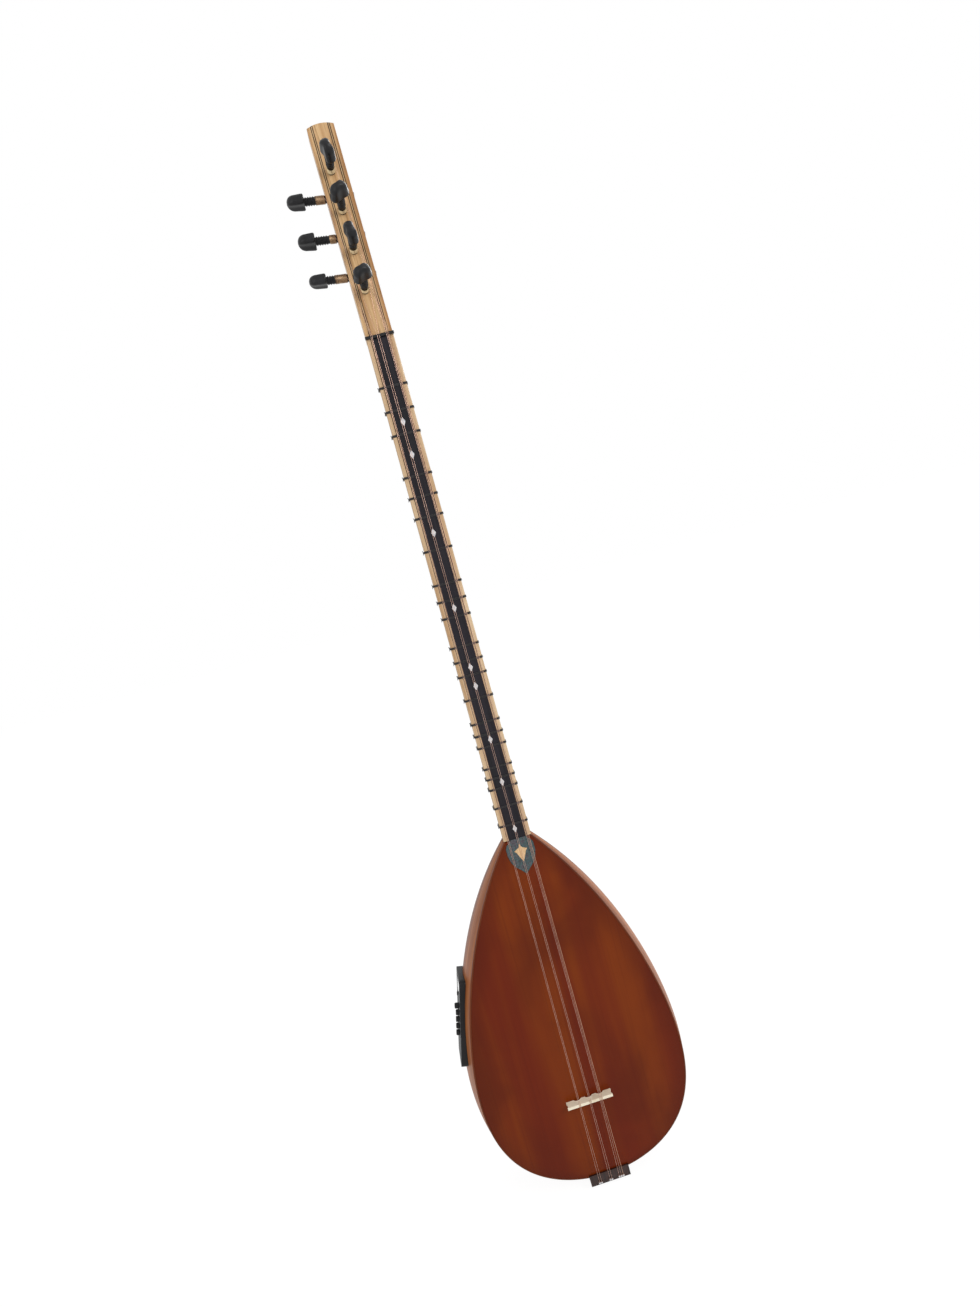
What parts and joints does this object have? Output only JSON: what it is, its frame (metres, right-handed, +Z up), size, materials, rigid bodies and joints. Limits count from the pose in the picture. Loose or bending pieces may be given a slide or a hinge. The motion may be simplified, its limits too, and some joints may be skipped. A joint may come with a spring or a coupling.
{
  "type": "long-necked lute",
  "caption": "Long-necked lute with a deep stave-built bowl, tied frets, friction pegs on the front and one side, and a side preamp.",
  "frame": {"origin": "centre of the nut's body-side edge, on the plane of the fingerboard and the soundboard, where a hanger's yoke holds the neck", "axes": "+Z up the neck to the head, -Y is the side that the strings are on, +X is right from the front"},
  "size_m": [0.2648, 0.2164, 1.2175],
  "materials": {
    "stave_wood": "gloss lacquer, staves of darker and lighter wood",
    "block_wood": "bare, sawn",
    "soundboard_wood": "gloss lacquer, dark amber stain",
    "binding_wood": "gloss lacquer",
    "abalone": "polished shell",
    "star_wood": "polished",
    "bridge_bone": "satin, cream",
    "tail_wood": "gloss lacquer",
    "pin_steel": "polished",
    "neck_wood": "satin lacquer",
    "board_wood": "satin",
    "purfling_dark_wood": "satin lacquer",
    "purfling_light_wood": "satin lacquer",
    "pearl": "polished shell",
    "nut_black": "polished",
    "fret_nylon": "tied cord",
    "string_steel": "drawn wire",
    "peg_plastic": "satin",
    "winding_brass": "wound wire",
    "preamp_plastic": "satin",
    "screw_steel": "polished",
    "window_plastic": "dark, clear-coated",
    "knob_plastic": "satin",
    "battery_shell": "painted",
    "pickup_brass": "bare",
    "jack_metal": "plated",
    "lead_rubber": "matte"
  },
  "bodies": {
    "root": {"stave_1": "stave_wood", "stave_2": "stave_wood", "stave_3": "stave_wood", "stave_4": "stave_wood", "stave_5": "stave_wood", "stave_6": "stave_wood", "stave_7": "stave_wood", "stave_8": "stave_wood", "stave_9": "stave_wood", "stave_10": "stave_wood", "stave_11": "stave_wood", "heel_block": "block_wood", "tail_block": "block_wood", "soundboard": "soundboard_wood", "edge_binding": "binding_wood", "plaque": "abalone", "plaque_star": "star_wood", "bridge": "bridge_bone", "tailpiece": "tail_wood", "string_pins": "pin_steel", "neck": "neck_wood", "fingerboard": "board_wood", "purfling_dark": "purfling_dark_wood", "purfling_light": "purfling_light_wood", "markers": "pearl", "headstock": "neck_wood", "nut": "nut_black", "tied_frets": "fret_nylon", "strings_left": "string_steel", "strings_middle": "string_steel", "strings_right": "string_steel", "preamp_bezel": "preamp_plastic", "preamp_case": "preamp_plastic", "preamp_screws": "screw_steel", "tuner_window": "window_plastic", "battery": "battery_shell", "piezo_pickup": "pickup_brass", "output_jack": "jack_metal", "inner_leads": "lead_rubber"},
    "front_peg_body_1": {"front_peg_1": "peg_plastic", "front_winding_1": "winding_brass"},
    "front_peg_body_2": {"front_peg_2": "peg_plastic", "front_winding_2": "winding_brass"},
    "front_peg_body_3": {"front_peg_3": "peg_plastic", "front_winding_3": "winding_brass"},
    "front_peg_body_4": {"front_peg_4": "peg_plastic", "front_winding_4": "winding_brass"},
    "side_peg_body_1": {"side_peg_1": "peg_plastic", "side_winding_1": "winding_brass"},
    "side_peg_body_2": {"side_peg_2": "peg_plastic", "side_winding_2": "winding_brass"},
    "side_peg_body_3": {"side_peg_3": "peg_plastic", "side_winding_3": "winding_brass"},
    "volume_knob_body": {"volume_knob": "knob_plastic"},
    "tone_knob_body_1": {"tone_knob_1": "knob_plastic"},
    "tone_knob_body_2": {"tone_knob_2": "knob_plastic"},
    "tone_knob_body_3": {"tone_knob_3": "knob_plastic"},
    "tone_knob_body_4": {"tone_knob_4": "knob_plastic"},
    "door_body": {"battery_door": "preamp_plastic"},
    "button_body": {"tuner_button": "preamp_plastic"}
  },
  "joints": [
    {"name": "front_peg_turn_1", "type": "hinge", "parent": "root", "child": "front_peg_body_1", "pos_m": [-0.0015, 0.02365, 0.17125], "axis": [0, -0.9703, 0.2419], "continuous": true},
    {"name": "front_peg_turn_2", "type": "hinge", "parent": "root", "child": "front_peg_body_2", "pos_m": [-0.0015, 0.0179, 0.13035], "axis": [0, -0.9703, 0.2419], "continuous": true},
    {"name": "front_peg_turn_3", "type": "hinge", "parent": "root", "child": "front_peg_body_3", "pos_m": [-0.0015, 0.01215, 0.08945], "axis": [0, -0.9703, 0.2419], "continuous": true},
    {"name": "front_peg_turn_4", "type": "hinge", "parent": "root", "child": "front_peg_body_4", "pos_m": [-0.0015, 0.0064, 0.04855], "axis": [0, -0.9703, 0.2419], "continuous": true},
    {"name": "side_peg_turn_1", "type": "hinge", "parent": "root", "child": "side_peg_body_1", "pos_m": [-0.014, 0.02968, 0.14955], "axis": [-0.9945, 0.0145, 0.1035], "continuous": true},
    {"name": "side_peg_turn_2", "type": "hinge", "parent": "root", "child": "side_peg_body_2", "pos_m": [-0.014, 0.02394, 0.10865], "axis": [-0.9945, 0.0145, 0.1035], "continuous": true},
    {"name": "side_peg_turn_3", "type": "hinge", "parent": "root", "child": "side_peg_body_3", "pos_m": [-0.014, 0.01819, 0.06775], "axis": [-0.9945, 0.0145, 0.1035], "continuous": true},
    {"name": "volume_turn", "type": "hinge", "parent": "root", "child": "volume_knob_body", "pos_m": [-0.11667, 0.0315, -0.73776], "axis": [-0.9711, 0, 0.2386], "range_deg": [-145, 145]},
    {"name": "tone_turn_1", "type": "hinge", "parent": "root", "child": "tone_knob_body_1", "pos_m": [-0.11867, 0.0315, -0.74591], "axis": [-0.9711, 0, 0.2386], "range_deg": [-145, 145]},
    {"name": "tone_turn_2", "type": "hinge", "parent": "root", "child": "tone_knob_body_2", "pos_m": [-0.12067, 0.0315, -0.75407], "axis": [-0.9711, 0, 0.2386], "range_deg": [-145, 145]},
    {"name": "tone_turn_3", "type": "hinge", "parent": "root", "child": "tone_knob_body_3", "pos_m": [-0.12268, 0.0315, -0.76223], "axis": [-0.9711, 0, 0.2386], "range_deg": [-145, 145]},
    {"name": "tone_turn_4", "type": "hinge", "parent": "root", "child": "tone_knob_body_4", "pos_m": [-0.12468, 0.0315, -0.77039], "axis": [-0.9711, 0, 0.2386], "range_deg": [-145, 145]},
    {"name": "door_hinge", "type": "hinge", "parent": "root", "child": "door_body", "pos_m": [-0.13168, 0.0395, -0.80306], "axis": [0, -1, 0], "range_deg": [0, 95]},
    {"name": "button_press", "type": "slide", "parent": "root", "child": "button_body", "axis": [0.9711, 0, -0.2386], "range_m": [0, 0.0006], "stiffness_N_per_m": 600}
  ]
}
